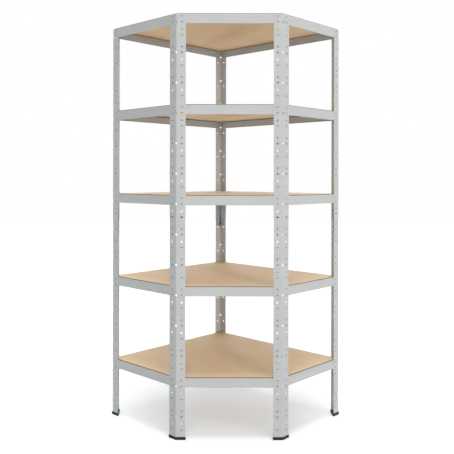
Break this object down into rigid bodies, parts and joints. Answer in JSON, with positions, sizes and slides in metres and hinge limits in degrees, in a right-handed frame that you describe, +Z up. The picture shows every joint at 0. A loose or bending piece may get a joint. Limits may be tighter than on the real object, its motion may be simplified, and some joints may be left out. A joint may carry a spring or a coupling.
{
  "type": "corner shelving unit",
  "caption": "Boltless corner shelving unit: slotted steel angle uprights on plastic feet carry hooked beams and loose fibreboard shelves of pentagonal plan.",
  "frame": {"origin": "on the floor, at the middle of the box around the whole unit", "axes": "+Z up, the open front faces -Y, X runs along the front, and the unit is the same on both sides of X = 0"},
  "size_m": [1.0666, 0.8394, 1.8064],
  "materials": {
    "coated_steel": "light grey powder coat, satin",
    "zinc_steel": "zinc plated, dull",
    "fibreboard": "raw medium density fibreboard, matt",
    "black_plastic": "moulded, matt"
  },
  "bodies": {
    "root": {"front_left_post_lower": "coated_steel", "front_left_post_upper": "coated_steel", "front_left_connector": "zinc_steel", "front_left_foot": "black_plastic", "front_right_post_lower": "coated_steel", "front_right_post_upper": "coated_steel", "front_right_connector": "zinc_steel", "front_right_foot": "black_plastic", "right_end_post_lower": "coated_steel", "right_end_post_upper": "coated_steel", "right_end_connector": "zinc_steel", "right_end_foot": "black_plastic", "back_corner_post_lower": "coated_steel", "back_corner_post_upper": "coated_steel", "back_corner_connector": "zinc_steel", "back_corner_foot": "black_plastic", "left_end_post_lower": "coated_steel", "left_end_post_upper": "coated_steel", "left_end_connector": "zinc_steel", "left_end_foot": "black_plastic", "shelf_1_front_beam": "coated_steel", "shelf_1_right_side_beam": "coated_steel", "shelf_1_right_back_beam": "coated_steel", "shelf_1_left_back_beam": "coated_steel", "shelf_1_left_side_beam": "coated_steel", "shelf_1_board": "fibreboard", "shelf_2_front_beam": "coated_steel", "shelf_2_right_side_beam": "coated_steel", "shelf_2_right_back_beam": "coated_steel", "shelf_2_left_back_beam": "coated_steel", "shelf_2_left_side_beam": "coated_steel", "shelf_2_board": "fibreboard", "shelf_3_front_beam": "coated_steel", "shelf_3_right_side_beam": "coated_steel", "shelf_3_right_back_beam": "coated_steel", "shelf_3_left_back_beam": "coated_steel", "shelf_3_left_side_beam": "coated_steel", "shelf_3_board": "fibreboard", "shelf_4_front_beam": "coated_steel", "shelf_4_right_side_beam": "coated_steel", "shelf_4_right_back_beam": "coated_steel", "shelf_4_left_back_beam": "coated_steel", "shelf_4_left_side_beam": "coated_steel", "shelf_4_board": "fibreboard", "shelf_5_front_beam": "coated_steel", "shelf_5_right_side_beam": "coated_steel", "shelf_5_right_back_beam": "coated_steel", "shelf_5_left_back_beam": "coated_steel", "shelf_5_left_side_beam": "coated_steel", "shelf_5_board": "fibreboard"}
  },
  "joints": []
}
